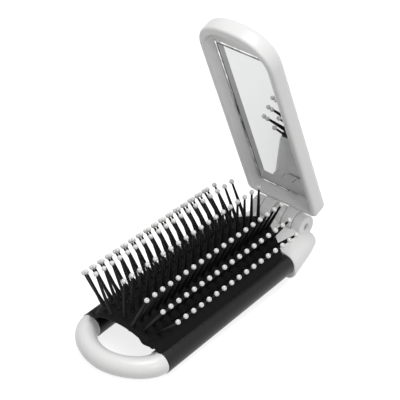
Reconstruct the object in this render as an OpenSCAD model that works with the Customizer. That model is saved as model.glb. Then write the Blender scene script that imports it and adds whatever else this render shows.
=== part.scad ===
// Folding hairbrush with a mirror in its lid.
// Millimetres. X runs across the brush, Y from the hanging loop towards the hinge, Z up.
// The origin lies on the table, straight below the hinge axis.

/* [Handle frame] */
// Distance of each rail's centre line from the middle
rail_x = 16.7; // [14:0.1:22]
// Radius of the white rail inside its grip sleeve
rail_r = 3; // [2.6:0.1:3.4]
// Radius of the thinner end that plugs into the hinge block
spigot_r = 2.2; // [1.2:0.1:2.6]
// Length of that plug
spigot_len = 6; // [3:0.5:8]
// Depth of the hanging loop, from the rails' ends to its centre line
loop_depth = 11.6; // [9:0.1:24]
// Squareness of the hanging loop's curve, 2 is an ellipse
loop_square = 1.8; // [1.6:0.05:3]
// Tube radius at the front of the loop
loop_r = 4; // [2.5:0.1:4.8]
// Tube radius where the loop meets the sleeves
loop_root_r = 4.5; // [4:0.05:4.6]

/* [Grip sleeves] */
// Outer radius of the black sleeves at the loop, which is also their height there
sleeve_r = 4.7; // [4.6:0.05:5.2]
// Outer radius of the sleeves at the hinge block
sleeve_end_r = 4.05; // [3.8:0.05:4.6]
// How far the sleeves rise towards the hinge block
sleeve_rise = 2.3; // [1:0.1:2.6]
// Length of the sleeves, measured along the table
sleeve_len = 74.2; // [50:0.1:110]

/* [Bristle pad] */
// Height of the pad's crown above the table
pad_crown_z = 17.35; // [16.6:0.05:17.8]
// Radius of the pad's arch
pad_arch_r = 32.2; // [28:0.1:34]
// Thickness of the pad's skin
pad_skin = 2; // [1.2:0.1:2.6]
// Distance from the middle to the edge of the arch
pad_half_w = 15.4; // [14.9:0.1:16.2]
// How far the pad stands out over the hanging loop
pad_overhang = 3.3; // [0:0.1:5]
// How far the pad's end runs on over the hinge block, in the middle
pad_tail = 7; // [2:0.1:9]
// Half width of the straight middle of that end
pad_tail_half_w = 2; // [1:0.1:5]

/* [Pins] */
// Distance from pin to pin along a row
pin_pitch = 4.3; // [3.6:0.05:6]
// Distance of the first row beside the middle one from the middle
inner_row_x = 5.2; // [4:0.1:6]
// Distance of the second row from the middle
outer_row_x = 9.5; // [8:0.1:10.4]
// Distance of the outermost row from the middle
edge_row_x = 13; // [12.4:0.1:13.4]
// Radius of a pin's stem
pin_r = 0.48; // [0.3:0.02:0.7]
// Length of a middle pin from the pad to the middle of its tip
pin_len = 15.95; // [10:0.05:20]
// Radius of the collar that seats a pin on the pad
collar_r = 0.95; // [0.75:0.05:1.3]
// Height of that collar
collar_h = 0.5; // [0.2:0.05:1]
// Radius of the head under the pad
head_r = 1.1; // [0.8:0.05:1.4]
// Thickness of the head under the pad
head_h = 0.8; // [0.4:0.05:1.2]
// Radius of the white ball on a pin's end
ball_r = 0.97; // [0.75:0.01:1.3]
// How far the stem runs into the ball past its middle
ball_seat = 0.3; // [0:0.05:0.5]

/* [Hinge] */
// Height of the hinge axis above the table
hinge_z = 12.2; // [12:0.1:13]
// Radius of the hinge pin
hinge_pin_r = 1.45; // [1:0.05:1.8]
// Depth from the ears' outer faces to the pin's ends
hinge_pin_recess = 1.1; // [0:0.1:2]
// Running clearance round the hinge pin
pin_play = 0.05; // [0.02:0.01:0.08]
// Outer radius of the knuckles
knuckle_r = 4.5; // [3.6:0.1:4.6]
// Half width of the middle knuckle
knuckle_half_w = 2.75; // [1.8:0.05:3.5]
// Rounding of the middle knuckle's edges
knuckle_round = 1.4; // [0.4:0.1:1.8]
// Width of each of the lid's lugs
lug_w = 4.7; // [3:0.1:5.5]
// Width of each of the block's ears
ear_w = 4.4; // [3:0.1:5]
// Gap between neighbouring knuckles
knuckle_gap = 0.3; // [0.2:0.05:0.5]

/* [Hinge block] */
// Distance from the hinge axis to the block's front face
block_front = 18.3; // [16:0.1:24]
// Distance from the hinge axis to the block's rear face
block_rear = 4.5; // [4.3:0.1:4.6]
// Height of the deck between the pad and the hinge
deck_z = 12.6; // [11:0.1:12.8]
// Half width of the deck
deck_half_w = 10; // [8:0.1:11]
// Length of the deck from the block's front face
deck_len = 12.5; // [8:0.1:13.5]
// Radius of the block's round lower sides at its front
side_r = 4.5; // [4:0.1:4.8]
// Height of the middle of those sides
side_z = 5; // [4.8:0.1:5.6]
// Radius of the round rear corners
shoulder_r = 3.7; // [3:0.1:4.2]
// Distance from the middle to those corners' outer sides
shoulder_x = 15.7; // [15:0.1:17]

/* [Lid] */
// How far the lid stands open from closed, in degrees
lid_open = 68.8; // [45:0.1:90]
// Distance from the hinge axis to the lid's bottom face
lid_foot = 4.9; // [4.9:0.05:5.4]
// Depth of the lid's front plane behind the hinge axis
lid_set_back = 2.2; // [2.1:0.05:2.6]
// Length of the lid along its middle
lid_len = 98.9; // [98:0.1:110]
// Half width of the lid
lid_half_w = 17; // [16:0.1:19]
// Thickness of the lid
lid_t = 7.4; // [7:0.1:9]
// Length of the arched end
arch_len = 15.5; // [12:0.1:17]
// Squareness of the arch, 2 is an ellipse
arch_square = 2.3; // [2:0.05:2.8]
// Corner radius at the hinge end
lid_corner_r = 3; // [2:0.1:4]
// Rounding of the edge round the front
lid_front_round = 1.2; // [0.4:0.1:1.6]
// Rounding of the edge round the back
lid_back_round = 2.6; // [1:0.1:3]
// Width of the rim at the sides and the foot
rim_w = 2.5; // [2:0.1:2.6]
// Width of the rim at the top of the arch
rim_top_w = 3.5; // [3:0.1:4]
// Depth of the recess down to the mirror
recess_depth = 4.7; // [4:0.1:5]
// Depth of the recess at the top of the arch
recess_top_depth = 2.6; // [2:0.1:2.7]

/* [Mirror] */
// Length of the mirror glass
mirror_len = 81.6; // [70:0.1:82]
// Thickness of the mirror glass
mirror_t = 1; // [0.8:0.05:1.4]
// Width of the bevel round the glass
mirror_bevel = 0.4; // [0.1:0.05:0.5]
// Thickness of the adhesive tape behind the glass
tape_t = 0.3; // [0.1:0.05:0.5]
// Distance from the glass's edge to the tape's edge
tape_inset = 2; // [1:0.1:4]
// Gap round the glass
mirror_gap = 0.2; // [0.1:0.05:0.4]

/* [Hidden] */
$fn = 48;

white = [0.93, 0.93, 0.92];
black = [0.07, 0.07, 0.08];
steel = [0.72, 0.73, 0.75];
silver = [0.82, 0.86, 0.88];
tape_grey = [0.55, 0.55, 0.53];

joint_play = 0.05;             // sliding clearance of plugs and sleeves
stem_play = 0.02;              // clearance of a stem in its hole and its ball
eps = 0.5;                     // how far a cutting shape runs past what it cuts

rail_z = sleeve_r;
rail_end_z = rail_z + sleeve_rise;
rail_tilt = atan2(sleeve_rise, sleeve_len);
rail_len = norm([sleeve_rise, sleeve_len]);
sleeve_front_y = -block_front - sleeve_len;
arch_centre_z = pad_crown_z - pad_arch_r;
pad_front_y = sleeve_front_y - pad_overhang;
pad_tail_y = -block_front + pad_tail;

// The pin rows, from the middle row outwards: distance from the middle, slant in degrees,
// length as a share of the middle pins', start behind the sleeves' front ends, and room
// kept between the last pin and the pad's rear end
ROW_X = [0, inner_row_x, outer_row_x, edge_row_x];
ROW_SLANT = [0, 25.4, 34.9, 44.7];
ROW_LEN = [1, 1.01, 0.97, 0.86];
ROW_START = pin_pitch * [0.05, -0.3, 0.04, 0.77];
ROW_ROOM = pin_pitch * [0.77, 1.09, 1.77, 2.05];

lug_in_x = knuckle_half_w + knuckle_gap;
lug_out_x = lug_in_x + lug_w;
ear_in_x = lug_out_x + knuckle_gap;
ear_out_x = ear_in_x + ear_w;
sweep_r = knuckle_r + 0.4;     // what the turning lugs and knuckle need round the axis
slot_z = hinge_z - lug_depth() - 0.4;

arch_start_u = lid_foot + lid_len - arch_len;
mirror_foot_u = lid_foot + rim_w + mirror_gap;
mirror_half_w = lid_half_w - rim_w - 2 * mirror_gap;
glass_front_w = -lid_set_back - recess_depth;

// Depth of a lug behind the hinge axis
function lug_depth() = lid_set_back + 3.8;

// Height of the pad's top and of its underside at a distance x from the middle
function pad_top(x) = arch_centre_z + sqrt(pow(pad_arch_r, 2) - x * x);

// Y of a row's first pin, and the number of pins that fit behind it
function row_start(k) = sleeve_front_y + ROW_START[k];
function row_pins(k) = 1 + floor((pad_tail_y - ROW_ROOM[k] - row_start(k)) / pin_pitch);

// Radius of a sleeve at t along its rail
function sleeve_r_at(t) = sleeve_r + (sleeve_end_r - sleeve_r) * t / rail_len;

// A point of a superellipse quarter, with t from 0 on the first axis to 90 on the second
function super_point(a, b, n, t) = [a * pow(cos(t), 2 / n), b * pow(sin(t), 2 / n)];

// Closed skin through rings of points that all hold the same number of points
module skin(rings) {
    n = len(rings[0]);
    m = len(rings);
    polyhedron(
        points = [for (ring = rings) for (p = ring) p],
        faces = concat(
            [[for (i = [n - 1 : -1 : 0]) i]],
            [[for (i = [0 : n - 1]) (m - 1) * n + i]],
            [for (j = [0 : m - 2]) for (i = [0 : n - 1]) for (f = [0, 1])
                let (k = (i + 1) % n)
                f == 0 ? [j * n + i, j * n + k, (j + 1) * n + k]
                       : [j * n + i, (j + 1) * n + k, (j + 1) * n + i]]
        ),
        convexity = 6
    );
}

// Cylinder along Y from y0 to y1
module rod_y(x, z, r, y0, y1) {
    translate([x, y1, z]) rotate([90, 0, 0]) cylinder(r = r, h = y1 - y0);
}

// Cylinder or cone along a rail from t0 to t1, counted from the rail's loop end
module rod_rail(side, r0, r1, t0, t1) {
    translate([side * rail_x, sleeve_front_y, rail_z])
        rotate([rail_tilt - 90, 0, 0]) translate([0, 0, t0]) cylinder(r1 = r0, r2 = r1, h = t1 - t0);
}

// Outside of a sleeve from t0 to t1 along its rail, grown by gap
module sleeve_body(side, t0, t1, gap) {
    rod_rail(side, sleeve_r_at(t0) + gap, sleeve_r_at(t1) + gap, t0, t1);
}

// Cylinder along X, centred on the hinge axis, from x0 to x1
module rod_x(r, x0, x1) {
    translate([x0, 0, hinge_z]) rotate([0, 90, 0]) cylinder(r = r, h = x1 - x0);
}

// ---- hanging loop and rails ----

// Centre line of the loop from the right rail (0) over the front (0.5) to the left rail (1)
function loop_point(s) =
    let (t = 180 * s,
         q = super_point(rail_x, loop_depth, loop_square, t <= 90 ? t : 180 - t))
    [t <= 90 ? q[0] : -q[0], sleeve_front_y - q[1], rail_z];

// Tube radius along the loop
function loop_radius(s) = loop_r + (loop_root_r - loop_r) * pow(abs(2 * s - 1), 3);

// Direction of the centre line, in degrees from +X, square to the ends there
function loop_heading(s) =
    s < 0.001 ? -90 : s > 0.999 ? -270 :
    let (d = loop_point(s + 0.001) - loop_point(s - 0.001), a = atan2(d[1], d[0]))
    a > 0 ? a - 360 : a;

module loop_frame() {
    ring_steps = 44;
    sides = 24;
    color(white) {
        skin([for (j = [0 : ring_steps])
            let (s = j / ring_steps, c = loop_point(s), a = loop_heading(s), r = loop_radius(s))
            [for (i = [0 : sides - 1])
                let (b = 360 * i / sides)
                c + r * [sin(a) * cos(b), -cos(a) * cos(b), sin(b)]]]);
        for (side = [-1, 1]) {
            rod_rail(side, rail_r, rail_r, -0.3, rail_len);
            rod_rail(side, spigot_r, spigot_r, rail_len - 1, rail_len + spigot_len);
        }
    }
}

module sleeve(side) {
    color(black)
    difference() {
        sleeve_body(side, 0, rail_len, 0);
        rod_rail(side, rail_r + joint_play, rail_r + joint_play, -eps, rail_len + eps);
        rod_y(side * rail_x, rail_z, 2 * sleeve_r, sleeve_front_y - eps, sleeve_front_y);
        rod_y(side * rail_x, rail_end_z, 2 * sleeve_r, -block_front, -block_front + eps);
    }
}

// ---- hinge block ----

// Smooth body of the block, before its slot and holes
module block_body() {
    bar_r = 2;
    foot_r = 2.2;
    hull()
        for (side = [-1, 1]) {
            translate([side * rail_x, -block_front + 1, rail_end_z])
                rotate([90, 0, 0]) cylinder(r = sleeve_end_r + 0.1, h = 1, $fn = 40);
            translate([side * rail_x, -block_front + 1, side_z])
                rotate([90, 0, 0]) cylinder(r = side_r, h = 1, $fn = 40);
            translate([side * (rail_x - foot_r), -block_front + 4, 0])
                cylinder(r = foot_r, h = 1, $fn = 32);
            translate([side * (deck_half_w - bar_r), -block_front + deck_len, deck_z - bar_r])
                rotate([90, 0, 0]) cylinder(r = bar_r, h = deck_len, $fn = 32);
            translate([side * (shoulder_x - shoulder_r), block_rear - shoulder_r, side_z])
                sphere(r = shoulder_r, $fn = 40);
            translate([side * (shoulder_x - shoulder_r), block_rear - shoulder_r, 0])
                cylinder(r = foot_r, h = 1, $fn = 32);
        }
}

// Middle knuckle, a barrel with rounded edges
module middle_knuckle() {
    flat = knuckle_half_w - knuckle_round;
    translate([0, 0, hinge_z]) rotate([0, 90, 0])
    rotate_extrude()
    union() {
        translate([0, -knuckle_half_w]) square([knuckle_r - knuckle_round, 2 * knuckle_half_w]);
        translate([0, -flat]) square([knuckle_r, 2 * flat]);
        for (end = [-1, 1])
            translate([knuckle_r - knuckle_round, end * flat]) circle(r = knuckle_round);
    }
}

module hinge_block() {
    knuckle_foot = 2.6;
    color(white)
    difference() {
        union() {
            difference() {
                block_body();
                rod_x(sweep_r, -ear_in_x, ear_in_x);
                translate([-ear_in_x, -eps, slot_z])
                    cube([2 * ear_in_x, block_rear + 2 * eps, hinge_z]);
            }
            for (side = [-1, 1])
                rod_x(knuckle_r, side < 0 ? -ear_out_x : ear_in_x, side < 0 ? -ear_in_x : ear_out_x);
            middle_knuckle();
            translate([-knuckle_half_w + knuckle_round, -sweep_r - 0.2, slot_z - eps])
                cube([2 * (knuckle_half_w - knuckle_round), sweep_r + 0.2 + knuckle_foot,
                      hinge_z - slot_z + eps - 1.5]);
        }
        rod_x(hinge_pin_r + pin_play, -ear_out_x - eps, ear_out_x + eps);
        for (side = [-1, 1])
            rod_rail(side, spigot_r + joint_play, spigot_r + joint_play,
                     rail_len - 1, rail_len + spigot_len + joint_play);
    }
}

module hinge_pin() {
    color(steel) rod_x(hinge_pin_r, -ear_out_x + hinge_pin_recess, ear_out_x - hinge_pin_recess);
}

// ---- bristle pad ----

// Outline of the pad from above, drawn in by d
module pad_outline(d) {
    w = pad_half_w + 3.5 - d;
    front_flat = pad_half_w - 3.4;
    corner_x = pad_half_w + 0.6;
    corner_cut = 1.3;
    side_cut = corner_cut + 3;
    tail_cut = pad_tail - 2;
    polygon([
        [-front_flat, pad_front_y + d], [front_flat, pad_front_y + d],
        [corner_x - d / 2, pad_front_y + corner_cut + d],
        [w, pad_front_y + side_cut + d], [w, -block_front - 3.5 - d],
        [deck_half_w, pad_tail_y - tail_cut - d], [pad_tail_half_w, pad_tail_y - d],
        [-pad_tail_half_w, pad_tail_y - d], [-deck_half_w, pad_tail_y - tail_cut - d],
        [-w, -block_front - 3.5 - d], [-w, pad_front_y + side_cut + d],
        [-corner_x + d / 2, pad_front_y + corner_cut + d]
    ]);
}

// Flat seats on the pad's front corners, where the lid's rim comes down over them
module rim_seats() {
    seat_gap = 0.3;
    arch_u = lid_foot + lid_len - arch_len;
    corner = [for (t = [0 : 10 : 40])
        super_point(lid_half_w - rim_w - seat_gap, arch_len - rim_top_w - seat_gap, arch_square, t)];
    translate([0, 0, hinge_z + lid_set_back - seat_gap]) linear_extrude(height = lid_t)
        for (side = [-1, 1])
            polygon(concat(
                [for (p = corner) [side * p[0], -arch_u - p[1]]],
                [[side * lid_half_w, pad_front_y - 2], [side * lid_half_w, -arch_u]]
            ));
}

// Cross section of the pad's arch
module pad_arch() {
    intersection() {
        translate([0, arch_centre_z]) difference() {
            circle(r = pad_arch_r, $fn = 96);
            circle(r = pad_arch_r - pad_skin, $fn = 96);
        }
        translate([-pad_half_w, 0]) square([2 * pad_half_w, pad_crown_z + 1]);
    }
}

// Cross section of the skirts that stand on the sleeves
module pad_skirts() {
    skirt_top = pad_top(pad_half_w);
    foot_x = rail_x + 1.3;
    foot_z = rail_z + sleeve_r - 0.8;
    for (side = [-1, 1])
        polygon([
            [side * (pad_half_w - pad_skin), skirt_top - pad_skin / 3],
            [side * pad_half_w, skirt_top],
            [side * foot_x, foot_z],
            [side * (foot_x - 1.2 * pad_skin), foot_z]
        ]);
}

// Calls its children once for each pin of row k on one side, at the pad, along the pin
module at_pins(k, side) {
    x = side * ROW_X[k];
    for (i = [0 : row_pins(k) - 1])
        translate([x, row_start(k) + i * pin_pitch, pad_top(x)])
            rotate([0, side * ROW_SLANT[k], 0]) children();
}

module bristle_pad() {
    color(black)
    difference() {
        union() {
            intersection() {
                translate([0, pad_tail_y, 0]) rotate([90, 0, 0]) {
                    linear_extrude(height = pad_tail_y - pad_front_y) pad_arch();
                    linear_extrude(height = pad_tail_y - sleeve_front_y) pad_skirts();
                }
                linear_extrude(height = pad_crown_z + 1) pad_outline(0);
            }
            // End wall that stands on the block's deck
            intersection() {
                rod_y(0, arch_centre_z, pad_arch_r - pad_skin / 2, -block_front, pad_tail_y);
                translate([0, 0, deck_z]) linear_extrude(height = 5)
                    difference() {
                        pad_outline(0);
                        pad_outline(0.7 * pad_skin);
                    }
                translate([-deck_half_w, -block_front, 0])
                    cube([2 * deck_half_w, pad_tail, pad_crown_z]);
            }
        }
        for (side = [-1, 1]) for (k = [side < 0 ? 1 : 0 : 3])
            at_pins(k, side)
                translate([0, 0, -3 * pad_skin]) cylinder(r = pin_r + stem_play, h = 5 * pad_skin, $fn = 16);
        for (side = [-1, 1])
            sleeve_body(side, -pad_overhang - 1, rail_len + 1, stem_play);
        rim_seats();
    }
}

// ---- pins and their tips ----

module pin_row(k, side) {
    color(black) {
        at_pins(k, side)
            translate([0, 0, -pad_skin - 1]) 
                cylinder(r = pin_r, h = pin_len * ROW_LEN[k] + pad_skin + 1 + ball_seat, $fn = 16);
        difference() {
            at_pins(k, side) translate([0, 0, -1]) cylinder(r = collar_r, h = 1 + collar_h, $fn = 16);
            rod_y(0, arch_centre_z, pad_arch_r, pad_front_y, pad_tail_y);
        }
        intersection() {
            at_pins(k, side)
                translate([0, 0, -pad_skin - 1]) cylinder(r = head_r, h = head_h + 1, $fn = 16);
            rod_y(0, arch_centre_z, pad_arch_r - pad_skin, pad_front_y, pad_tail_y);
        }
    }
}

module tip_row(k, side) {
    color(white)
    at_pins(k, side)
        translate([0, 0, pin_len * ROW_LEN[k]]) difference() {
            sphere(r = ball_r, $fn = 24);
            translate([0, 0, -2 * ball_r])
                cylinder(r = pin_r + stem_play, h = 2 * ball_r + ball_seat + stem_play, $fn = 16);
        }
}

// ---- lid and mirror ----

// Turns what is drawn lying open behind the hinge, face up, to where the lid stands
module at_lid() {
    translate([0, 0, hinge_z]) rotate([180 - lid_open, 0, 0]) children();
}

// Outline of the lid drawn in by d, with its arch drawn in by d_top
function lid_outline(d, d_top) =
    let (w = lid_half_w - d, r = max(lid_corner_r - d, 0.4), arch_steps = 16, corner_steps = 5)
    concat(
        [for (i = [0 : corner_steps]) let (a = -90 + 90 * i / corner_steps)
            [w - r + r * cos(a), lid_foot + d + r + r * sin(a)]],
        [for (i = [0 : 2 * arch_steps])
            let (t = 90 * i / arch_steps,
                 q = super_point(w, arch_len - d_top, arch_square, t <= 90 ? t : 180 - t))
            [t <= 90 ? q[0] : -q[0], arch_start_u + q[1]]],
        [for (i = [0 : corner_steps]) let (a = 180 + 90 * i / corner_steps)
            [-w + r + r * cos(a), lid_foot + d + r + r * sin(a)]]
    );

function lifted(points, z) = [for (p = points) [p[0], p[1], z]];

// Solid lid without its recess, with rounded edges
module lid_blank() {
    steps = 4;
    back = -lid_set_back - lid_t;
    hull() skin(concat(
        [for (i = [0 : steps]) let (a = 90 * i / steps, d = lid_back_round * (1 - sin(a)))
            lifted(lid_outline(d, d), back + lid_back_round * (1 - cos(a)))],
        [for (i = [0 : steps]) let (a = 90 * i / steps, d = lid_front_round * (1 - cos(a)))
            lifted(lid_outline(d, d), -lid_set_back - lid_front_round * (1 - sin(a)))]
    ));
}

// Recess in front of the mirror, with a gently sloping floor beyond the glass
module lid_recess() {
    slope_start = mirror_foot_u + mirror_len + mirror_gap;
    slope_end = lid_foot + lid_len;
    slope_run = slope_end - rim_top_w - slope_start;
    slope = (recess_depth - recess_top_depth) / slope_run;
    intersection() {
        translate([0, 0, -lid_set_back - recess_depth])
            linear_extrude(height = recess_depth + 1) polygon(lid_outline(rim_w, rim_top_w));
        rotate([90, 0, 90]) linear_extrude(height = 4 * lid_half_w, center = true)
            polygon([
                [0, -lid_set_back - recess_depth], [slope_start, -lid_set_back - recess_depth],
                [slope_end, -lid_set_back - recess_depth + slope * (slope_end - slope_start)],
                [slope_end, eps], [0, eps]
            ]);
    }
}

// Plate in the lid, from its front face down by t, with its edge drawn in by d from the glass's
module mirror_plate(front_w, t, d) {
    translate([-mirror_half_w + d, mirror_foot_u + d, front_w - t])
        cube([2 * (mirror_half_w - d), mirror_len - 2 * d, t]);
}

// Side view of a lug: the knuckle and the web that joins it to the lid's foot
module lug_profile() {
    circle(r = knuckle_r);
    flush = 0.3 * lid_front_round;
    polygon([
        [0, -lug_depth()], [lid_foot + eps, -lug_depth()],
        [lid_foot + flush, -lid_set_back - flush], [knuckle_r - 0.2, knuckle_r / 4], [0, knuckle_r / 4]
    ]);
}

module lid_shell() {
    color(white)
    at_lid()
    difference() {
        union() {
            difference() {
                lid_blank();
                lid_recess();
                mirror_plate(glass_front_w + eps, mirror_t + tape_t + eps, -mirror_gap);
            }
            for (side = [-1, 1])
                translate([side < 0 ? -lug_out_x : lug_in_x, 0, 0])
                    rotate([90, 0, 90]) linear_extrude(height = lug_w) lug_profile();
        }
        rotate([0, 90, 0])
            cylinder(r = hinge_pin_r + pin_play, h = 2 * ear_out_x, center = true);
    }
}

module mirror_tape() {
    color(tape_grey) at_lid() mirror_plate(glass_front_w - mirror_t, tape_t, tape_inset);
}

module mirror_glass() {
    rim = glass_front_w;
    color(silver) at_lid()
    difference() {
        mirror_plate(glass_front_w, mirror_t, 0);
        // Bevels along the four edges
        for (side = [-1, 1]) {
            translate([side * mirror_half_w, mirror_foot_u + mirror_len / 2, rim])
                rotate([0, side * 45, 0])
                    cube([mirror_bevel * sqrt(2), mirror_len + 1, mirror_bevel * sqrt(2)], center = true);
            translate([0, mirror_foot_u + (side + 1) * mirror_len / 2, rim])
                rotate([45, 0, 0])
                    cube([2 * mirror_half_w + 1, mirror_bevel * sqrt(2), mirror_bevel * sqrt(2)], center = true);
        }
    }
}

loop_frame();
sleeve(-1);  // left_sleeve
sleeve(1);  // right_sleeve
hinge_block();
hinge_pin();
bristle_pad();
pin_row(0, 1);  // pins_middle
pin_row(1, -1);  // pins_left_inner
pin_row(1, 1);  // pins_right_inner
pin_row(2, -1);  // pins_left_outer
pin_row(2, 1);  // pins_right_outer
pin_row(3, -1);  // pins_left_edge
pin_row(3, 1);  // pins_right_edge
tip_row(0, 1);  // tips_middle
tip_row(1, -1);  // tips_left_inner
tip_row(1, 1);  // tips_right_inner
tip_row(2, -1);  // tips_left_outer
tip_row(2, 1);  // tips_right_outer
tip_row(3, -1);  // tips_left_edge
tip_row(3, 1);  // tips_right_edge
lid_shell();
mirror_tape();
mirror_glass();
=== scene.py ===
"""Looks of the folding hairbrush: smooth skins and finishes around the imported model.

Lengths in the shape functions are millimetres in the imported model's frame: X across the brush,
Y from the hanging loop towards the hinge, Z up from the table. The lid is drawn in its own
plane and turned up to where it stands.
"""

import math

import bmesh
import bpy
import numpy as np
from mathutils import Matrix, Vector


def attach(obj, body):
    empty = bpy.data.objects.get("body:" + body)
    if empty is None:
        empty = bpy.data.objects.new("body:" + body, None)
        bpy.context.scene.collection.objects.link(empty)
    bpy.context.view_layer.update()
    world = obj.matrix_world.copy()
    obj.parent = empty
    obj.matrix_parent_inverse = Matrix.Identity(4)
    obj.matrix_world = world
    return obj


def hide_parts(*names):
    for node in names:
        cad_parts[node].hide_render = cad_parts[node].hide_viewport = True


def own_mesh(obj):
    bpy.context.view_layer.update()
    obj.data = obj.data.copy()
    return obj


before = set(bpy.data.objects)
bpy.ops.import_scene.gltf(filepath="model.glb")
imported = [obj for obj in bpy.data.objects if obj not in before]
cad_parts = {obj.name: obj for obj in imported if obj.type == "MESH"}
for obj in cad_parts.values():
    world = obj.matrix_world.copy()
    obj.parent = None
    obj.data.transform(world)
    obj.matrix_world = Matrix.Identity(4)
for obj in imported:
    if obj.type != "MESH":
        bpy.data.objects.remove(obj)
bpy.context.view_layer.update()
MM = 0.001

# ---- sizes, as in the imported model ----

RAIL_X, RAIL_R, SPIGOT_R, SPIGOT_LEN = 16.7, 3.0, 2.2, 6.0
LOOP_DEPTH, LOOP_SQUARE, LOOP_R, LOOP_ROOT_R = 11.6, 1.8, 4.0, 4.5
SLEEVE_R, SLEEVE_END_R, SLEEVE_RISE, SLEEVE_LEN = 4.7, 4.05, 2.3, 74.2
BLOCK_FRONT, HINGE_Z = 18.3, 12.2
SLEEVE_FRONT_Y = -BLOCK_FRONT - SLEEVE_LEN
RAIL_LEN = math.hypot(SLEEVE_RISE, SLEEVE_LEN)
PAD_CROWN_Z, PAD_ARCH_R, PAD_SKIN, PAD_HALF_W = 17.35, 32.2, 2.0, 15.4
PAD_FRONT_Y, PAD_TAIL_Y = SLEEVE_FRONT_Y - 3.3, -BLOCK_FRONT + 7.0
FOOT_OUT = 1.3  # from the rail's middle to the outer face of the skirt's foot
PIN_PITCH, PIN_LEN, BALL_R = 4.3, 15.95, 0.97
ROWS = {  # distance from the middle, slant, share of the pin length, start, pins
    "middle": (0.0, 0.0, 1.0, 0.05, 19),
    "inner": (5.2, 25.4, 1.01, -0.3, 19),
    "outer": (9.5, 34.9, 0.97, 0.04, 18),
    "edge": (13.0, 44.7, 0.86, 0.77, 17),
}
LID_OPEN, LID_FOOT, LID_SET_BACK, LID_LEN, LID_HALF_W, LID_T = 68.8, 4.9, 2.2, 98.9, 17.0, 7.4
ARCH_LEN, ARCH_SQUARE, LID_CORNER_R, FRONT_ROUND, BACK_ROUND = 15.5, 2.3, 3.0, 1.2, 2.6
RIM_W, RIM_TOP_W, RECESS, RECESS_TOP = 2.5, 3.5, 4.7, 2.6
GLASS_HALF_W, GLASS_FOOT_U, GLASS_LEN, GLASS_GAP, GLASS_BED = 14.1, 7.6, 81.6, 0.2, 1.3
KNUCKLE_R, LUG_IN, LUG_OUT, BORE_R = 4.5, 3.05, 7.75, 1.5


def pad_top(x):
    """Height of the pad's crown line: a circle of radius PAD_ARCH_R under the crown."""
    return PAD_CROWN_Z - PAD_ARCH_R + np.sqrt(PAD_ARCH_R**2 - np.square(x))


def ring_angles(count):
    """Evenly spaced angles round a full turn, without the last."""
    return np.arange(count) * 2 * math.pi / count


# ---- camera ----


def place_camera():
    """The photograph's viewpoint, solved from the grid of the pins, on a 400 x 400 frame."""
    frame_px, focal_px, sensor_mm = 400, 1957.6, 36.0
    right = Vector((0.768278, 0.640111, 0.002482))
    down = Vector((0.365957, -0.436044, -0.822156))
    ahead = Vector((-0.525189, 0.632553, -0.569256))
    data = bpy.data.cameras.new("camera")
    data.sensor_width = sensor_mm
    data.lens = sensor_mm * focal_px / frame_px
    data.clip_start, data.clip_end = 0.05, 20
    camera = bpy.data.objects.new("camera", data)
    bpy.context.scene.collection.objects.link(camera)
    turn = Matrix((right, -down, -ahead)).transposed().to_4x4()
    camera.matrix_world = Matrix.Translation(Vector((376.41, -503.33, 453.97)) * MM) @ turn
    bpy.context.scene.camera = camera


place_camera()


# ---- meshes from grids of points ----


class Skin:
    """Grids of points in millimetres, gathered into one mesh."""

    def __init__(self):
        self.points, self.faces, self.marks, self.count = [], [], [], 0

    def add(self, grid, close_rows=False, cap=False, mark=None):
        """Quads over grid[row, column]; the columns close round. cap fills the first and last
        row. The faces are turned outwards by the sign of the volume they enclose."""
        rows, columns = grid.shape[:2]
        flat = grid.reshape(-1, 3)
        r = np.arange(rows if close_rows else rows - 1)[:, None]
        c = np.arange(columns)[None, :]
        r2, c2 = (r + 1) % rows, (c + 1) % columns
        quads = np.stack(
            [r * columns + c, r * columns + c2, r2 * columns + c2, r2 * columns + c], -1
        ).reshape(-1, 4)
        ends = []
        if cap:
            ends = [np.arange(columns)[::-1], (rows - 1) * columns + np.arange(columns)]
        if self.volume(flat, quads, ends) < 0:
            quads = quads[:, ::-1]
            ends = [end[::-1] for end in ends]
        self.points.append(flat)
        self.faces += (quads + self.count).tolist() + [(e + self.count).tolist() for e in ends]
        self.marks.append(np.zeros(len(flat)) if mark is None else np.asarray(mark).reshape(-1))
        self.count += len(flat)
        return self

    @staticmethod
    def volume(flat, quads, ends):
        """Six times the signed volume: a . (b x c) summed over the triangles of all faces."""
        p = flat - flat.mean(0)
        fans = [(q[0], q[i], q[i + 1]) for q in ends for i in range(1, len(q) - 1)]
        parts = [quads[:, [0, 1, 2]], quads[:, [0, 2, 3]]]
        if fans:
            parts.append(np.array(fans))
        t = np.concatenate(parts)
        return float(np.einsum("ij,ij->", p[t[:, 0]], np.cross(p[t[:, 1]], p[t[:, 2]])))

    def piece(self, name, sharp_deg=38.0):
        """A smooth-shaded object of the gathered grids, with edges above sharp_deg kept sharp."""
        mesh = bpy.data.meshes.new(name)
        mesh.from_pydata((np.concatenate(self.points) * MM).tolist(), [], self.faces)
        marks = mesh.attributes.new("mark", "FLOAT", "POINT")
        marks.data.foreach_set("value", np.concatenate(self.marks).astype(np.float32))
        close_seams(mesh)
        mesh.shade_smooth()
        mesh.set_sharp_from_angle(angle=math.radians(sharp_deg))
        made = bpy.data.objects.new(name, mesh)
        bpy.context.scene.collection.objects.link(made)
        return made


def close_seams(mesh, reach=1e-6):
    """Merges points closer than reach metres, so poles and seams are closed."""
    bm = bmesh.new()
    bm.from_mesh(mesh)
    bmesh.ops.remove_doubles(bm, verts=bm.verts, dist=reach)
    bm.to_mesh(mesh)
    bm.free()


def fit_out(made, body, finish, slot, *nodes):
    """Gives a piece its finish and its body, and hides the imported nodes it stands for. slot is
    not used.
    """
    made.data.materials.append(finish)
    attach(made, body)
    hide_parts(*nodes)


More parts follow.
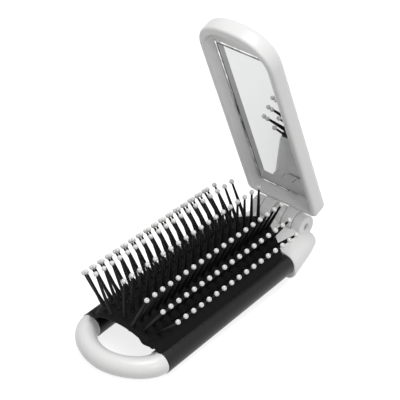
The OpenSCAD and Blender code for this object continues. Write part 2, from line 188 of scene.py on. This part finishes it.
def turned(profile, sides, origin, axis, across, phase=0.0):
    """Surface of revolution: profile rows (radius, height) turned round axis through origin.
    Point = origin + axis * height + radius * (across cos a + (axis x across) sin a)."""
    axis, across = np.asarray(axis, float), np.asarray(across, float)
    other = np.cross(axis, across)
    a = ring_angles(sides) + phase
    profile = np.asarray(profile, float)
    circle = np.cos(a)[:, None] * across + np.sin(a)[:, None] * other
    return (
        np.asarray(origin, float)
        + profile[:, 1, None, None] * axis
        + profile[:, 0, None, None] * circle
    )


def rail_axes(side):
    """Start and direction of a rail: from the loop's end, rising to the hinge block."""
    start = np.array([side * RAIL_X, SLEEVE_FRONT_Y, SLEEVE_R])
    along = np.array([0.0, SLEEVE_LEN, SLEEVE_RISE]) / RAIL_LEN
    return start, along


def rounded_corner(corner_r, corner_h, radius, start_deg, end_deg, steps=5):
    """Arc of a profile round (corner_r, corner_h), from start_deg to end_deg."""
    a = np.radians(np.linspace(start_deg, end_deg, steps))
    return np.stack([corner_r + radius * np.cos(a), corner_h + radius * np.sin(a)], 1)


# ---- shader maths ----


class Wire:
    """A node's output, so that shader maths reads as an expression."""

    def __init__(self, bench, socket):
        self.bench, self.socket = bench, socket

    def _with(self, operation, *values):
        return self.bench.node("ShaderNodeMath", {"operation": operation}, *values)

    def __add__(self, other):
        return self._with("ADD", self, other)

    __radd__ = __add__

    def __sub__(self, other):
        return self._with("SUBTRACT", self, other)

    def __rsub__(self, other):
        return self._with("SUBTRACT", other, self)

    def __mul__(self, other):
        return self._with("MULTIPLY", self, other)

    __rmul__ = __mul__

    def highest(self, other):
        return self._with("MAXIMUM", self, other)

    def lowest(self, other):
        return self._with("MINIMUM", self, other)

    def __abs__(self):
        return self._with("ABSOLUTE", self)

    def step(self, low, high):
        """0 below low, 1 above high, and a smooth rise between them."""
        return self.bench.node(
            "ShaderNodeMapRange", {"interpolation_type": "SMOOTHSTEP"}, self, low, high
        )


class Bench:
    """One material under construction."""

    def __init__(self, name):
        self.material = bpy.data.materials.new(name)
        self.material.use_nodes = True
        self.tree = self.material.node_tree
        self.tree.nodes.clear()
        self.end = self.tree.nodes.new("ShaderNodeOutputMaterial")

    def node(self, kind, settings=None, *inputs, output=0, **named):
        """A node of one kind with its settings, then its inputs by order or by name."""
        made = self.tree.nodes.new(kind)
        for key, value in (settings or {}).items():
            setattr(made, key, value)
        pairs = list(zip(made.inputs, inputs)) + [
            (made.inputs[key.replace("_", " ")], value) for key, value in named.items()
        ]
        for socket, value in pairs:
            self.feed(socket, value)
        return Wire(self, made.outputs[output])

    def feed(self, socket, value):
        if isinstance(value, Wire):
            self.tree.links.new(value.socket, socket)
        elif value is not None:
            socket.default_value = value

    def place(self):
        """Object coordinates, in metres."""
        return self.node("ShaderNodeTexCoord", output=3)

    def cloud(self, scale, detail=3.0, roughness=0.55, stretch=None):
        """Noise from 0 to 1 with scale features a metre, drawn out by stretch along each axis."""
        where = self.place()
        if stretch:
            where = self.node("ShaderNodeVectorMath", {"operation": "MULTIPLY"}, where, stretch)
        return self.node(
            "ShaderNodeTexNoise",
            {"normalize": True},
            Vector=where,
            Scale=scale,
            Detail=detail,
            Roughness=roughness,
        )

    def tint(self, share, low, high):
        """A colour between low and high by share."""
        mixed = self.tree.nodes.new("ShaderNodeMix")
        mixed.data_type = "RGBA"
        self.feed(mixed.inputs[0], share)
        self.feed(mixed.inputs[6], low if isinstance(low, Wire) else (*low, 1.0))
        self.feed(mixed.inputs[7], high if isinstance(high, Wire) else (*high, 1.0))
        return Wire(self, mixed.outputs[2])

    def relief(self, height, depth, strength=1.0, under=None):
        """Bump of depth metres for a height of 1."""
        return self.node(
            "ShaderNodeBump", None, Strength=strength, Distance=depth, Height=height, Normal=under
        )

    def finish(self, colour, roughness, normal, metallic=0.0, specular=0.5):
        """Principled shader on the output; the specular level is set on its own socket."""
        body = self.tree.nodes.new("ShaderNodeBsdfPrincipled")
        body.inputs["Specular IOR Level"].default_value = specular
        self.feed(body.inputs["Base Color"], colour)
        self.feed(body.inputs["Roughness"], roughness)
        self.feed(body.inputs["Metallic"], metallic)
        self.feed(body.inputs["Normal"], normal)
        self.tree.links.new(body.outputs[0], self.end.inputs[0])
        return self.material


def white_moulding():
    """White moulded plastic: faint flow clouds, a fine satin skin and a few dull rubs."""
    b = Bench("white_moulding")
    clouds = b.cloud(55, 4.0)
    specks = b.cloud(2600, 2.0)
    rubs = b.cloud(180, 5.0, 0.7).step(0.56, 0.74)
    colour = b.tint(clouds, (0.83, 0.83, 0.825), (0.87, 0.87, 0.865))
    colour = b.tint(specks.step(0.69, 0.8) * 0.35, colour, (0.66, 0.66, 0.65))
    skin = b.relief(b.cloud(1500, 2.0), 0.00003, 0.35)
    skin = b.relief(clouds, 0.00012, 0.25, skin)
    return b.finish(colour, 0.27 + 0.07 * clouds + 0.1 * rubs, skin, specular=0.5)


def black_rubber():
    """Black rubber grip: a very fine matt grain, soft wear clouds and a little dust."""
    b = Bench("black_rubber")
    grain = b.cloud(3800, 2.0)
    wear = b.cloud(120, 4.0, 0.6, (1.0, 0.35, 1.0))
    dust = b.cloud(5200, 1.0).step(0.72, 0.82)
    colour = b.tint(wear, (0.005, 0.005, 0.0052), (0.010, 0.010, 0.0103))
    colour = b.tint(dust * 0.3, colour, (0.04, 0.04, 0.04))
    skin = b.relief(grain, 0.00004, 0.6)
    return b.finish(colour, 0.3 + 0.12 * wear, skin, specular=0.32)


def black_membrane():
    """Black rubber pad: matt, with moulding ripples and dust between the pins."""
    b = Bench("black_membrane")
    grain = b.cloud(2600, 3.0)
    ripples = b.cloud(160, 3.0, 0.5)
    dust = b.cloud(4200, 1.0).step(0.7, 0.8)
    colour = b.tint(ripples, (0.004, 0.004, 0.0042), (0.009, 0.009, 0.0093))
    colour = b.tint(dust * 0.35, colour, (0.045, 0.045, 0.045))
    skin = b.relief(ripples, 0.0002, 0.35, b.relief(grain, 0.00005, 0.6))
    return b.finish(colour, 0.5 + 0.14 * ripples, skin, specular=0.08)


def black_nylon():
    """Black nylon pins: smooth, with fine draw lines along them."""
    b = Bench("black_nylon")
    lines = b.cloud(900, 2.0, 0.5, (1.0, 1.0, 0.12))
    colour = b.tint(lines, (0.004, 0.004, 0.0042), (0.010, 0.010, 0.0103))
    return b.finish(colour, 0.3 + 0.14 * lines, b.relief(lines, 0.00003, 0.4), specular=0.16)


def white_nylon():
    """White nylon ball tips: near white, glossy, with the grey mark of the pin's end."""
    b = Bench("white_nylon")
    mark = b.node("ShaderNodeAttribute", {"attribute_name": "mark"}, output=2)
    clouds = b.cloud(420, 3.0)
    colour = b.tint(clouds, (0.80, 0.80, 0.79), (0.87, 0.87, 0.865))
    colour = b.tint(mark, colour, (0.3, 0.3, 0.3))
    return b.finish(colour, 0.24 + 0.1 * clouds, b.relief(clouds, 0.00003, 0.3), specular=0.5)


def drawn_steel():
    """Steel pin: drawn lines along it and dull spots."""
    b = Bench("drawn_steel")
    lines = b.cloud(2200, 3.0, 0.6, (0.06, 1.0, 1.0))
    spots = b.cloud(700, 4.0)
    colour = b.tint(spots, (0.42, 0.42, 0.425), (0.56, 0.56, 0.565))
    roughness = 0.26 + 0.12 * lines + 0.1 * spots
    return b.finish(colour, roughness, b.relief(lines, 0.00002, 0.5), metallic=1.0)


def foam_tape():
    """Grey foam tape: open grain."""
    b = Bench("foam_tape")
    cells = b.cloud(3000, 4.0, 0.7)
    colour = b.tint(cells, (0.42, 0.42, 0.4), (0.55, 0.55, 0.53))
    return b.finish(colour, 0.8 + 0.1 * cells, b.relief(cells, 0.0001, 0.8), specular=0.3)


def mirror_silver():
    """Back-silvered glass with faint finger film. Towards its border the silver ends in a thin
    dark line of painted shadow, the shadow of the gap at its edge, broken here and there, and
    outside that the ground bevel is brightened to white and widened as a painted highlight.
    The pane reflects as if it leaned a little to the right in its bed."""
    bevel_highlight_w, shadow_line_w, lean, bevel_tilt, soft = 0.001, 0.0015, 0.03, 36.0, 0.00008
    b = Bench("mirror_silver")
    across, along, up = (
        b.node("ShaderNodeSeparateXYZ", None, b.place(), output=axis) for axis in range(3)
    )
    turn = math.radians(180.0 - LID_OPEN)
    u = along * math.cos(turn) + (up - HINGE_Z * MM) * math.sin(turn)
    foot, top = GLASS_FOOT_U * MM, (GLASS_FOOT_U + GLASS_LEN) * MM
    inside = (GLASS_HALF_W * MM - abs(across)).lowest(u - foot).lowest(top - u)
    smear = b.cloud(60, 5.0, 0.65).step(0.5, 0.75)
    chips = b.cloud(330, 2.0).step(0.4, 0.6)
    colour = b.tint(smear, (0.635, 0.64, 0.64), (0.61, 0.615, 0.615))
    # painted shadow: a dark line just inside the border, broken by the chips
    shadow_line = inside.step(shadow_line_w + soft, shadow_line_w - soft)
    colour = b.tint(shadow_line, colour, b.tint(chips, (0.16, 0.16, 0.16), (0.04, 0.04, 0.04)))
    # painted highlight: the bevel band is made white and wider than the real bevel
    bevel_highlight = inside.step(bevel_highlight_w + soft, bevel_highlight_w - soft)
    colour = b.tint(bevel_highlight, colour, b.tint(chips, (1.0, 1.0, 1.0), (0.6, 0.6, 0.6)))
    roughness = 0.012 + 0.03 * smear + 0.1 * bevel_highlight
    ground = bevel_tilt * (bevel_highlight_w - inside).highest(0.0)
    return b.finish(colour, roughness, b.relief(ground - across, lean), metallic=1.0)


WHITE, RUBBER, MEMBRANE = white_moulding(), black_rubber(), black_membrane()
NYLON, BALL_WHITE, STEEL = black_nylon(), white_nylon(), drawn_steel()
TAPE, MIRROR = foam_tape(), mirror_silver()


# ---- hanging loop, rails and sleeves ----


def hanging_loop():
    """White tube. Centre line: |x / RAIL_X|^n + |d / LOOP_DEPTH|^n = 1 with n = LOOP_SQUARE,
    where d is the distance in front of the sleeves. The tube's radius grows from LOOP_R in
    the middle to LOOP_ROOT_R at the roots with the cube of the distance. Each rail is a
    straight rod that goes on through its sleeve, with a thinner plug in the block."""
    steps, sides = 150, 48
    s = np.linspace(0.0, 1.0, steps + 1)
    t = math.pi * s
    x = RAIL_X * np.sign(np.cos(t)) * np.abs(np.cos(t)) ** (2 / LOOP_SQUARE)
    d = LOOP_DEPTH * np.abs(np.sin(t)) ** (2 / LOOP_SQUARE)
    centre = np.stack([x, SLEEVE_FRONT_Y - d, np.full_like(x, SLEEVE_R)], 1)
    run = np.gradient(centre, axis=0)
    run[0], run[-1] = (0.0, -1.0, 0.0), (0.0, 1.0, 0.0)
    run /= np.linalg.norm(run, axis=1)[:, None]
    out = np.stack([-run[:, 1], run[:, 0], np.zeros(len(s))], 1)
    radius = LOOP_R + (LOOP_ROOT_R - LOOP_R) * np.abs(2 * s - 1) ** 3
    a = ring_angles(sides)
    up = np.array([0.0, 0.0, 1.0])
    tube = centre[:, None] + radius[:, None, None] * (
        np.cos(a)[None, :, None] * out[:, None] + np.sin(a)[None, :, None] * up
    )
    skin = Skin().add(tube, cap=True)
    lap = 0.3
    rod = [
        (RAIL_R, -lap),
        (RAIL_R, RAIL_LEN - lap),
        (SPIGOT_R, RAIL_LEN - lap),
        (SPIGOT_R, RAIL_LEN + SPIGOT_LEN),
    ]
    for side in (-1, 1):
        start, along = rail_axes(side)
        skin.add(turned(rod, 32, start, along, (1.0, 0.0, 0.0)), cap=True)
    fit_out(skin.piece("hanging_loop"), "brush", WHITE, "white_plastic", "loop_frame")


def grip_sleeve(name, side, node):
    """Black sleeve: a cone from SLEEVE_R to SLEEVE_END_R along the rail, its ends rounded,
    with the rail's bore inside. The end faces are cut square to the table."""
    lip, play = 0.45, 0.05
    bore = RAIL_R + play
    front = rounded_corner(SLEEVE_R - lip, lip, lip, -90, 0)
    rear = rounded_corner(SLEEVE_END_R - lip, RAIL_LEN - lip, lip, 0, 90)
    profile = np.concatenate([[(bore, 0.0)], front, rear, [(bore, RAIL_LEN)]])
    start, along = rail_axes(side)
    grid = turned(profile, 96, start, along, (1.0, 0.0, 0.0))
    lean = SLEEVE_RISE / SLEEVE_LEN
    share = np.clip((grid[..., 1] - SLEEVE_FRONT_Y) / SLEEVE_LEN, 0, 1)
    centre_z = SLEEVE_R + SLEEVE_RISE * share
    grid[..., 1] += lean * (grid[..., 2] - centre_z)
    made = Skin().add(grid, close_rows=True).piece(name)
    fit_out(made, "brush", RUBBER, "black_rubber", node)


# ---- hinge block ----


def block_moulding():
    """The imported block's own surface with its loose triangles merged, remeshed evenly and
    relaxed, which leaves every edge with a small moulded radius."""
    voxel, relax_steps = 0.00024, 7
    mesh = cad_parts["hinge_block"].data.copy()
    mesh.materials.clear()
    close_seams(mesh)
    raw = bpy.data.objects.new("block_raw", mesh)
    bpy.context.scene.collection.objects.link(raw)
    even = raw.modifiers.new("even", "REMESH")
    even.mode, even.voxel_size, even.use_smooth_shade = "VOXEL", voxel, True
    relax = raw.modifiers.new("relax", "SMOOTH")
    relax.factor, relax.iterations = 0.5, relax_steps
    shown = bpy.context.evaluated_depsgraph_get()
    final = bpy.data.meshes.new_from_object(raw.evaluated_get(shown))
    bpy.data.objects.remove(raw)
    made = bpy.data.objects.new("block_moulding", final)
    bpy.context.scene.collection.objects.link(made)
    final.shade_smooth()
    fit_out(made, "brush", WHITE, "white_plastic", "hinge_block")


# ---- bristle pad ----


def pad_section_line(count=240):
    """Half section of the pad's outer face as points (x, z): the arch, a rounded shoulder and
    the skirt down to the sleeve, with the skirt's foot inside the sleeve."""
    shoulder, foot = 1.5, (RAIL_X + FOOT_OUT, SLEEVE_R + 4.2)
    edge = np.array([PAD_HALF_W, float(pad_top(PAD_HALF_W))])
    x = np.linspace(0.0, PAD_HALF_W - shoulder, 120)
    arch = np.stack([x, pad_top(x)], 1)
    down = np.array(foot) - edge
    after = edge + down / np.linalg.norm(down) * shoulder
    s = np.linspace(0.0, 1.0, 24)[1:, None]
    curve = (1 - s) ** 2 * arch[-1] + 2 * s * (1 - s) * edge + s**2 * after
    skirt = after + np.linspace(0.0, 1.0, 20)[1:, None] * (np.array(foot) - after)
    line = np.concatenate([arch, curve, skirt])
    run = np.concatenate([[0.0], np.cumsum(np.linalg.norm(np.diff(line, axis=0), axis=1))])
    even = np.linspace(0.0, run[-1], count)
    return np.stack([np.interp(even, run, line[:, 0]), np.interp(even, run, line[:, 1])], 1)


def pad_reach(y):
    """Half width of the pad at each y: the arch alone with blunt corners in front of the
    sleeves, then the skirts as well, and the tail's slope at the rear."""
    full = RAIL_X + FOOT_OUT
    corners = [
        (PAD_FRONT_Y, 12.3),
        (PAD_FRONT_Y + 1.2, PAD_HALF_W + 0.7),
        (SLEEVE_FRONT_Y - 0.9, PAD_HALF_W + 0.9),
        (SLEEVE_FRONT_Y - 0.1, PAD_HALF_W + 2.4),
        (SLEEVE_FRONT_Y + 0.3, full),
        (-BLOCK_FRONT - 3.5, full + 0.9),
        (PAD_TAIL_Y - 5.0, 10.0),
        (PAD_TAIL_Y, 2.0),
    ]
    return np.minimum(np.interp(y, *zip(*corners)), full)


def rim_press(x, y, z):
    """Height after the lid's rim has made its mark: outside the curve |x / w|^n + |v / h|^n = 1
    of the lid's recess, what stands higher than the shut rim is pressed down to it, and the
    mark fades in over the last stretch inside that curve."""
    clearance, fade_from, fade_run, lead_in = 0.35, 0.86, 0.11, 3.0
    seat_z = HINGE_Z + LID_SET_BACK - clearance
    v = np.maximum(-y - (LID_FOOT + LID_LEN - ARCH_LEN), 0.0)
    n = ARCH_SQUARE
    out = (np.abs(x / (LID_HALF_W - RIM_W)) ** n + (v / (ARCH_LEN - RIM_TOP_W)) ** n) ** (1 / n)
    fade = np.clip((out - fade_from) / fade_run, 0, 1) * np.clip(v / lead_in, 0, 1)
    return z - np.maximum(z - seat_z, 0.0) * fade * fade * (3 - 2 * fade)


def pad_membrane():
    """Arched rubber pad. For each y the outer line is cut at the pad's reach and divided
    evenly; outer and inner faces lie half the skin's thickness from the middle surface, and
    that half thickness falls off in a quarter circle at every edge, so the rim is round."""
    line = pad_section_line()
    half_skin, across, ends = PAD_SKIN / 2, 65, 7
    lead = PAD_FRONT_Y + half_skin * (1 - np.cos(np.radians(np.linspace(0, 90, ends))))
    trail = PAD_TAIL_Y - half_skin * (1 - np.cos(np.radians(np.linspace(90, 0, ends))))
    corner = np.linspace(lead[-1], SLEEVE_FRONT_Y + 0.6, 34)[1:]
    y = np.concatenate([lead, corner, np.linspace(corner[-1], trail[0], 150)[1:-1], trail])
    thick = np.full(len(y), half_skin)
    thick[:ends] = half_skin * np.sin(np.radians(np.linspace(0, 90, ends)))
    thick[-ends:] = half_skin * np.sin(np.radians(np.linspace(90, 0, ends)))
    run = np.concatenate([[0.0], np.cumsum(np.linalg.norm(np.diff(line, axis=0), axis=1))])
    tangent = np.gradient(line, axis=0)
    tangent /= np.linalg.norm(tangent, axis=1)[:, None]
    middle = line - half_skin * np.stack([-tangent[:, 1], tangent[:, 0]], 1)
    cut = np.interp(pad_reach(y), line[:, 0], run) - half_skin
    share = np.linspace(-1.0, 1.0, across)
    length = np.abs(share)[None, :] * cut[:, None]
    mid_x = np.interp(length, run, middle[:, 0]) * np.sign(share)
    mid_z = np.interp(length, run, middle[:, 1])
    norm_x = np.interp(length, run, -tangent[:, 1]) * np.sign(share)
    norm_z = np.interp(length, run, tangent[:, 0])
    t = thick[:, None]
    along = np.broadcast_to(y[:, None], mid_x.shape)
    mid_z = rim_press(mid_x, along, mid_z + half_skin) - half_skin
    upper = np.stack([mid_x + t * norm_x, along, mid_z + t * norm_z], -1)
    lower = np.stack([mid_x - t * norm_x, along, mid_z - t * norm_z], -1)
    turn = np.radians(np.linspace(90, -90, 9)[1:-1])

    def round_edge(column, sign):
        """Half circle from the outer to the inner face past the last column."""
        m = np.stack([mid_x[:, column], y, mid_z[:, column]], 1)[:, None]
        n = np.stack([norm_x[:, column], 0 * y, norm_z[:, column]], 1)[:, None]
        o = np.stack([sign * norm_z[:, column], 0 * y, -sign * norm_x[:, column]], 1)[:, None]
        w = thick[:, None, None]
        return m + w * (np.sin(turn)[None, :, None] * n + np.cos(turn)[None, :, None] * o)

    loop = np.concatenate(
        [upper, round_edge(-1, 1.0), lower[:, ::-1], round_edge(0, -1.0)[:, ::-1]], axis=1
    )
    made = Skin().add(loop).piece("pad_membrane", 60.0)
    fit_out(made, "brush", MEMBRANE, "black_rubber", "bristle_pad")


# ---- pins and ball tips ----


def row_frame(kind, side):
    """Feet of a row's pins on the pad, the pins' direction, and a direction across them."""
    x, slant, share, start, count = ROWS[kind]
    y = SLEEVE_FRONT_Y + (start + np.arange(count)) * PIN_PITCH
    feet = np.stack([np.full(count, side * x), y, np.full(count, float(pad_top(x)))], 1)
    lean = math.radians(slant)
    axis = np.array([side * math.sin(lean), 0.0, math.cos(lean)])
    return feet, axis, np.array([0.0, 1.0, 0.0]), PIN_LEN * share


def pin_row(kind, side, name):
    """Nylon pins: each a tapering stem turned from a profile, with a head under the pad, a
    collar on it, and a pointed end inside its ball. Each is turned a little on from the last."""
    feet, axis, across, length = row_frame(kind, side)
    head = [(0.0, -2.95), (1.05, -2.9), (1.1, -2.2), (0.7, -2.05)]
    collar = [(0.75, -0.2), (1.02, -0.1), (1.0, 0.28), (0.84, 0.5)]
    stem = [(0.76, 0.8), (0.6, 0.5 * length), (0.4, length - 0.3), (0.0, length + 0.2)]
    sides, twist = 10, 0.4
    skin = Skin()
    for k, foot in enumerate(feet):
        skin.add(turned(head + collar + stem, sides, foot, axis, across, twist * k))
    made = skin.piece("stems_" + name, 50.0)
    fit_out(made, "brush", NYLON, "black_nylon", "pins_" + name)
    settle(made, feet[0], axis)


def tip_row(kind, side, name):
    """White balls on the pins: a sphere with a small dimple at its crown, where the pin's end
    shows grey, and a short neck where it is moulded on the stem."""
    feet, axis, across, length = row_frame(kind, side)
    sides, neck_r = 12, 0.43
    polar = np.radians([17.0, 30.0, 48.0, 68.0, 90.0, 112.0, 132.0, 149.0])
    ball = np.stack([BALL_R * np.sin(polar), length + BALL_R * np.cos(polar)], 1)
    crown = length + BALL_R * math.cos(polar[0])
    dimple = [(0.0, crown - 0.14), (0.17, crown - 0.12)]
    neck = [(neck_r, length - BALL_R), (0.0, length - BALL_R)]
    profile = np.concatenate([dimple, ball, neck])
    mark = np.zeros((len(profile), sides))
    mark[: len(dimple)] = 1.0
    skin = Skin()
    for foot in feet:
        skin.add(turned(profile, sides, foot, axis, across), mark=mark)
    made = skin.piece("balls_" + name, 70.0)
    fit_out(made, "brush", BALL_WHITE, "white_nylon", "tips_" + name)
    settle(made, feet[0], axis)


def settle(made, foot, axis):
    """Gives the row its own mesh. Where it would sink along its pins as the lid closes is worked
    out but not used.
    """
    sunk, kept = 2.6, 0.04
    anchor = (foot - axis * sunk) * MM
    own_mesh(made)


# ---- lid ----


def on_lid(points):
    """From the lid's own plane (x, u along it from the hinge axis, w out of its front) to
    where it stands: turned by 180 - LID_OPEN round the hinge axis."""
    turn = math.radians(180.0 - LID_OPEN)
    x, u, w = points[..., 0], points[..., 1], points[..., 2]
    y = u * math.cos(turn) - w * math.sin(turn)
    z = HINGE_Z + u * math.sin(turn) + w * math.cos(turn)
    return np.stack([x, y, z], -1)


CORNER_STEPS, SIDE_STEPS, ARCH_STEPS, FOOT_STEPS = 9, 14, 44, 10
LEAST_CORNER_R = 0.4


def lid_ring(d, d_top):
    """Outline of the lid drawn in by d, its arch by d_top, as points (x, u), from the middle
    of the foot round the right side. The arch is |x / w|^n + |v / h|^n = 1."""
    w = LID_HALF_W - d
    r = max(LID_CORNER_R - d, LEAST_CORNER_R)
    foot, arch_u = LID_FOOT + d, LID_FOOT + LID_LEN - ARCH_LEN
    a = np.radians(np.linspace(-90, 0, CORNER_STEPS))
    corner_line = np.stack([w - r + r * np.cos(a), foot + r + r * np.sin(a)], 1)
    base = np.stack([np.linspace(0, w - r, FOOT_STEPS + 1)[:-1], np.full(FOOT_STEPS, foot)], 1)
    v = np.linspace(foot + r, arch_u, SIDE_STEPS + 2)[1:-1]
    flank = np.stack([np.full(SIDE_STEPS, w), v], 1)
    t = np.linspace(0, math.pi / 2, ARCH_STEPS)
    n = 2 / ARCH_SQUARE
    arch = np.stack([w * np.cos(t) ** n, arch_u + (ARCH_LEN - d_top) * np.sin(t) ** n], 1)
    arch[-1, 0] = 0.0
    half = np.concatenate([base, corner_line, flank, arch])
    mirrored = half[1:-1][::-1] * (-1, 1)
    return np.concatenate([half, mirrored])


def bed_ring():
    """The glass's bed as points that answer one by one to those of lid_ring: its sides and
    foot follow the recess, and the arch's points lie on its straight top edge."""
    ring = lid_ring(RIM_W, RIM_TOP_W)
    half_w, foot = GLASS_HALF_W + GLASS_GAP, GLASS_FOOT_U - GLASS_GAP
    top = GLASS_FOOT_U + GLASS_LEN + GLASS_GAP
    inner = ring.copy()
    inner[:, 0] *= half_w / (LID_HALF_W - RIM_W)
    low, high = LID_FOOT + RIM_W, LID_FOOT + LID_LEN - ARCH_LEN
    inner[:, 1] = foot + (np.clip(ring[:, 1], low, high) - low) * (top - foot) / (high - low)
    return inner


def recess_floor(u):
    """Level of the recess's floor: flat along the glass, rising gently beyond it."""
    start = GLASS_FOOT_U + GLASS_LEN + GLASS_GAP
    rise = (RECESS - RECESS_TOP) / (LID_FOOT + LID_LEN - RIM_TOP_W - start)
    return -LID_SET_BACK - RECESS + rise * np.maximum(u - start, 0.0)


def lug_reach(angle):
    """Distance from the hinge axis to a lug's outline: the larger of the knuckle's radius and
    the web's edges, each edge n . p = c read as c / (n . direction)."""
    depth, flush = LID_SET_BACK + 3.8, 0.3 * FRONT_ROUND
    corners = np.array(
        [
            (0.0, -depth),
            (LID_FOOT + 0.5, -depth),
            (LID_FOOT + flush, -LID_SET_BACK - flush),
            (KNUCKLE_R - 0.2, KNUCKLE_R / 4),
            (0.0, KNUCKLE_R / 4),
        ]
    )
    ray = np.stack([np.cos(angle), np.sin(angle)], 1)
    reach = np.full(len(angle), KNUCKLE_R)
    for p, q in zip(corners[:-1], corners[1:]):
        edge = q - p
        across = ray[:, 0] * edge[1] - ray[:, 1] * edge[0]
        safe = np.where(np.abs(across) < 1e-9, 1.0, across)
        t = (p[0] * edge[1] - p[1] * edge[0]) / safe
        s = (p[0] * ray[:, 1] - p[1] * ray[:, 0]) / safe
        hit = (np.abs(across) >= 1e-9) & (t > 0) & (s >= -1e-6) & (s <= 1 + 1e-6)
        reach = np.where(hit, np.maximum(reach, t), reach)
    return reach


def lid_tray():
    """The lid as one run of rings: the flat back, its rounded edge, the side, the rounded
    front edge, the rim, the recess's wall, its floor and the glass's bed, then two lugs."""
    back, front = -LID_SET_BACK - LID_T, -LID_SET_BACK
    lip, fillet, plateau = 0.45, 0.5, 4.0
    rings = [(plateau, plateau, back)]
    for a in np.radians(np.linspace(0, 90, 10)):
        d = BACK_ROUND * (1 - math.sin(a))
        rings.append((d, d, back + BACK_ROUND * (1 - math.cos(a))))
    rings.append((0.0, 0.0, back + LID_T / 2 + 0.3))
    for a in np.radians(np.linspace(0, 90, 9)):
        d = FRONT_ROUND * (1 - math.cos(a))
        rings.append((d, d, front - FRONT_ROUND * (1 - math.sin(a))))
    for a in np.radians(np.linspace(0, 90, 6)):
        d = lip * (1 - math.sin(a))
        rings.append((RIM_W - d, RIM_TOP_W - d, front - lip * (1 - math.cos(a))))
    grid = []
    for d, d_top, w in rings:
        outline = lid_ring(d, d_top)
        grid.append(np.column_stack([outline, np.full(len(outline), w)]))
    wall = lid_ring(RIM_W, RIM_TOP_W)
    floor = recess_floor(wall[:, 1])
    grid.append(np.column_stack([wall, 0.5 * (front - lip + floor)]))
    for a in np.radians(np.linspace(0, 90, 6)):
        sunk = floor + fillet * (1 - math.sin(a))
        inset = fillet * (1 - math.cos(a))
        floor_edge = lid_ring(RIM_W, RIM_TOP_W + inset)
        grid.append(np.column_stack([floor_edge, sunk]))
    bed_edge, bed = bed_ring(), -LID_SET_BACK - RECESS - GLASS_BED
    for share in (0.5, 1.0):
        mixed = floor_edge * (1 - share) + bed_edge * share
        grid.append(np.column_stack([mixed, recess_floor(mixed[:, 1])]))
    grid.append(np.column_stack([bed_edge, np.full(len(bed_edge), bed)]))
    skin = Skin().add(on_lid(np.array(grid)), cap=True)
    angle = ring_angles(120)
    for side in (-1, 1):
        skin.add(on_lid(lug_grid(side, angle)), close_rows=True)
    fit_out(skin.piece("lid_tray", 32.0), "lid", WHITE, "white_plastic", "lid_shell")


def lug_grid(side, angle):
    """One lug: its outline carried along the hinge axis with rounded edges, and its bore."""
    edge = 0.35
    reach = lug_reach(angle)
    stations = [(LUG_IN, None)]
    for a in np.radians(np.linspace(0, 90, 5)):
        stations.append((LUG_IN + edge * (1 - math.cos(a)), edge * (1 - math.sin(a))))
    for a in np.radians(np.linspace(90, 0, 5)):
        stations.append((LUG_OUT - edge * (1 - math.cos(a)), edge * (1 - math.sin(a))))
    stations.append((LUG_OUT, None))
    rows = []
    for x, drawn_in in stations:
        r = np.full(len(angle), BORE_R) if drawn_in is None else reach - drawn_in
        out = np.full(len(angle), side * x)
        rows.append(np.stack([out, r * np.cos(angle), r * np.sin(angle)], 1))
    return np.array(rows)


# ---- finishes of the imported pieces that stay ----


def dress(node, finish):
    """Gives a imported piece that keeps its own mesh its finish."""
    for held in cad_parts[node].material_slots:
        held.material = finish


hanging_loop()
grip_sleeve("left_grip", -1, "left_sleeve")
grip_sleeve("right_grip", 1, "right_sleeve")
block_moulding()
pad_membrane()
for kind in ROWS:
    for side in (1,) if kind == "middle" else (-1, 1):
        label = kind if kind == "middle" else ("left_" if side < 0 else "right_") + kind
        pin_row(kind, side, label)
        tip_row(kind, side, label)
lid_tray()
dress("hinge_pin", STEEL)
dress("mirror_tape", TAPE)
dress("mirror_glass", MIRROR)


# ---- studio ----


def seen_rays(bench):
    """1 for camera, glossy and transmission rays, 0 for the rays that light the object."""
    path = bench.tree.nodes.new("ShaderNodeLightPath")
    rays = [
        Wire(bench, path.outputs[name])
        for name in ("Is Camera Ray", "Is Glossy Ray", "Is Transmission Ray")
    ]
    return rays[0].highest(rays[1]).highest(rays[2])


def white_floor():
    """Plain pale floor, brightened for what looks at it, so it reads white and keeps shadows."""
    size, lift = 6.0, 0.8
    bpy.ops.mesh.primitive_plane_add(size=size, location=(0, 0, -0.00005))
    floor = bpy.context.object
    floor.name = "floor"
    b = Bench("floor_white")
    paint = b.node("ShaderNodeBsdfDiffuse", None, (0.5, 0.5, 0.5, 1.0))
    glow = b.node("ShaderNodeEmission", None, (1.0, 1.0, 1.0, 1.0), seen_rays(b) * lift)
    both = b.node("ShaderNodeAddShader", None, paint, glow)
    b.tree.links.new(both.socket, b.end.inputs[0])
    floor.data.materials.append(b.material)


def white_world(level):
    """Even white surroundings: white to what looks at them, a soft light of that level else."""
    world = bpy.data.worlds.new("studio")
    world.use_nodes = True
    bpy.context.scene.world = world
    b = Bench.__new__(Bench)
    b.tree = world.node_tree
    b.tree.nodes.clear()
    b.end = b.tree.nodes.new("ShaderNodeOutputWorld")
    strength = level + (1.0 - level) * seen_rays(b)
    sky = b.node("ShaderNodeBackground", None, (1.0, 1.0, 1.0, 1.0), strength)
    b.tree.links.new(sky.socket, b.end.inputs[0])


def soft_lamp(name, place, power, size):
    """Square area lamp that looks at the middle of the brush."""
    data = bpy.data.lights.new(name, "AREA")
    data.energy, data.size = power, size
    lamp = bpy.data.objects.new(name, data)
    aim = Vector((0.0, -0.04, 0.02))
    lamp.location = place
    lamp.rotation_mode = "QUATERNION"
    lamp.rotation_quaternion = (aim - Vector(place)).to_track_quat("-Z", "Y")
    bpy.context.scene.collection.objects.link(lamp)


white_floor()
white_world(0.44)
soft_lamp("lamp_top", (0.16, -0.12, 1.0), 5.1, 0.5)
soft_lamp("lamp_right", (0.9, -0.35, 0.55), 1.6, 0.25)
bpy.context.scene.view_settings.view_transform = "Standard"
